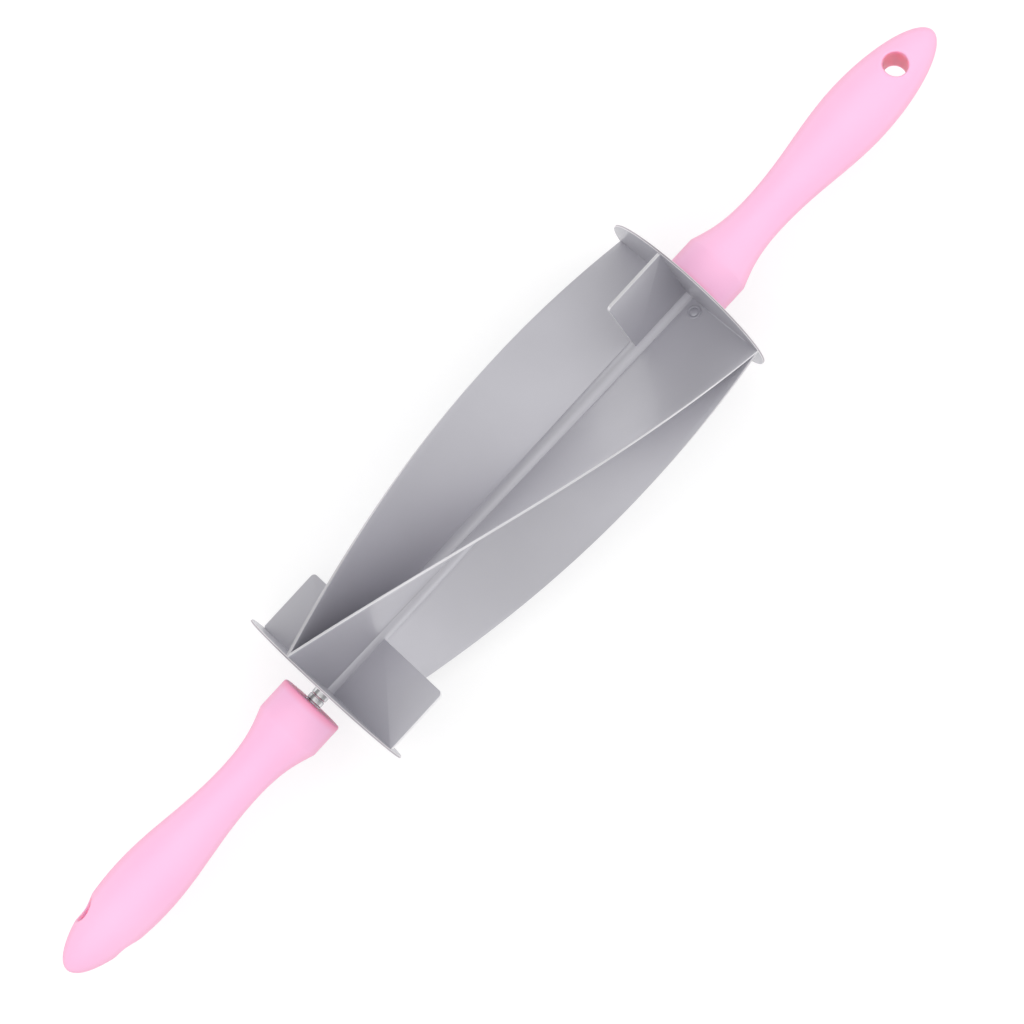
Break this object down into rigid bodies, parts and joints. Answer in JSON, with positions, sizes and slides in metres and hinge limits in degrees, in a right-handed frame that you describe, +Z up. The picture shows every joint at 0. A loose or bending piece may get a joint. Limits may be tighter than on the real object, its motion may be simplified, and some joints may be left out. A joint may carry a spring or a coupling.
{
  "type": "croissant cutter",
  "caption": "Two-handled rolling croissant cutter whose twisted blades between end discs cut a sheet of dough into triangles with slit bases.",
  "frame": {"origin": "middle of the overall length, on the axis of the rod", "axes": "+X along the rod towards the right handle, +Z up with the disc rims resting below, +Y away from someone who stands at -Y and rolls with a hand on each end"},
  "size_m": [0.4192, 0.0664, 0.0664],
  "materials": {
    "handle_plastic": "satin moulded plastic, light pink",
    "roller_steel": "satin, evenly dulled sheet steel with bright cut edges",
    "rod_chrome": "polished",
    "washer_steel": "bright zinc",
    "rivet_steel": "satin, pressed head"
  },
  "bodies": {
    "handles": {"axle_rod": "rod_chrome", "left_handle": "handle_plastic", "right_handle": "handle_plastic"},
    "washers": {"left_washer": "washer_steel", "right_washer": "washer_steel"},
    "roller": {"roller_tube": "roller_steel", "left_disc": "roller_steel", "right_disc": "roller_steel", "blade_1": "roller_steel", "blade_2": "roller_steel", "blade_3": "roller_steel", "blade_4": "roller_steel", "left_fin_1": "roller_steel", "left_fin_2": "roller_steel", "right_fin_1": "roller_steel", "right_fin_2": "roller_steel", "cross_rivet_1": "rivet_steel", "cross_rivet_2": "rivet_steel"}
  },
  "joints": [
    {"name": "roller_float", "type": "slide", "parent": "handles", "child": "washers", "axis": [1, 0, 0], "range_m": [-0.0048, 0]},
    {"name": "roller_spin", "type": "hinge", "parent": "washers", "child": "roller", "pos_m": [0.0024, 0, 0], "axis": [1, 0, 0], "continuous": true}
  ]
}
